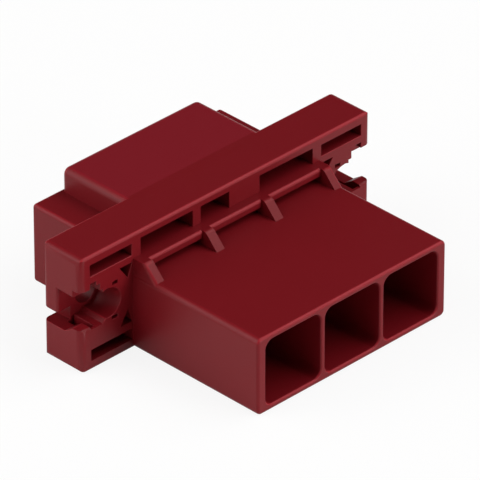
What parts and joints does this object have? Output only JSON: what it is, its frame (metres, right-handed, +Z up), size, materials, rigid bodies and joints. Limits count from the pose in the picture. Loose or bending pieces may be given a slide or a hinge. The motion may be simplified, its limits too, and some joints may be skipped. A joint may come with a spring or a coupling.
{
  "type": "rectangular connector",
  "caption": "Panel-mount rectangular power connector housing, moulded in one piece with a hood of open sockets, a windowed flange with bush ears and wire entries behind.",
  "frame": {"origin": "on the flat underside, below the middle of the flange's front face", "axes": "+X along the flange, -Y the way the sockets face, +Z up from the underside"},
  "size_m": [0.0502, 0.0394, 0.0163],
  "materials": {
    "housing": "fine satin, as moulded"
  },
  "bodies": {
    "root": {"housing": "housing"}
  },
  "joints": []
}
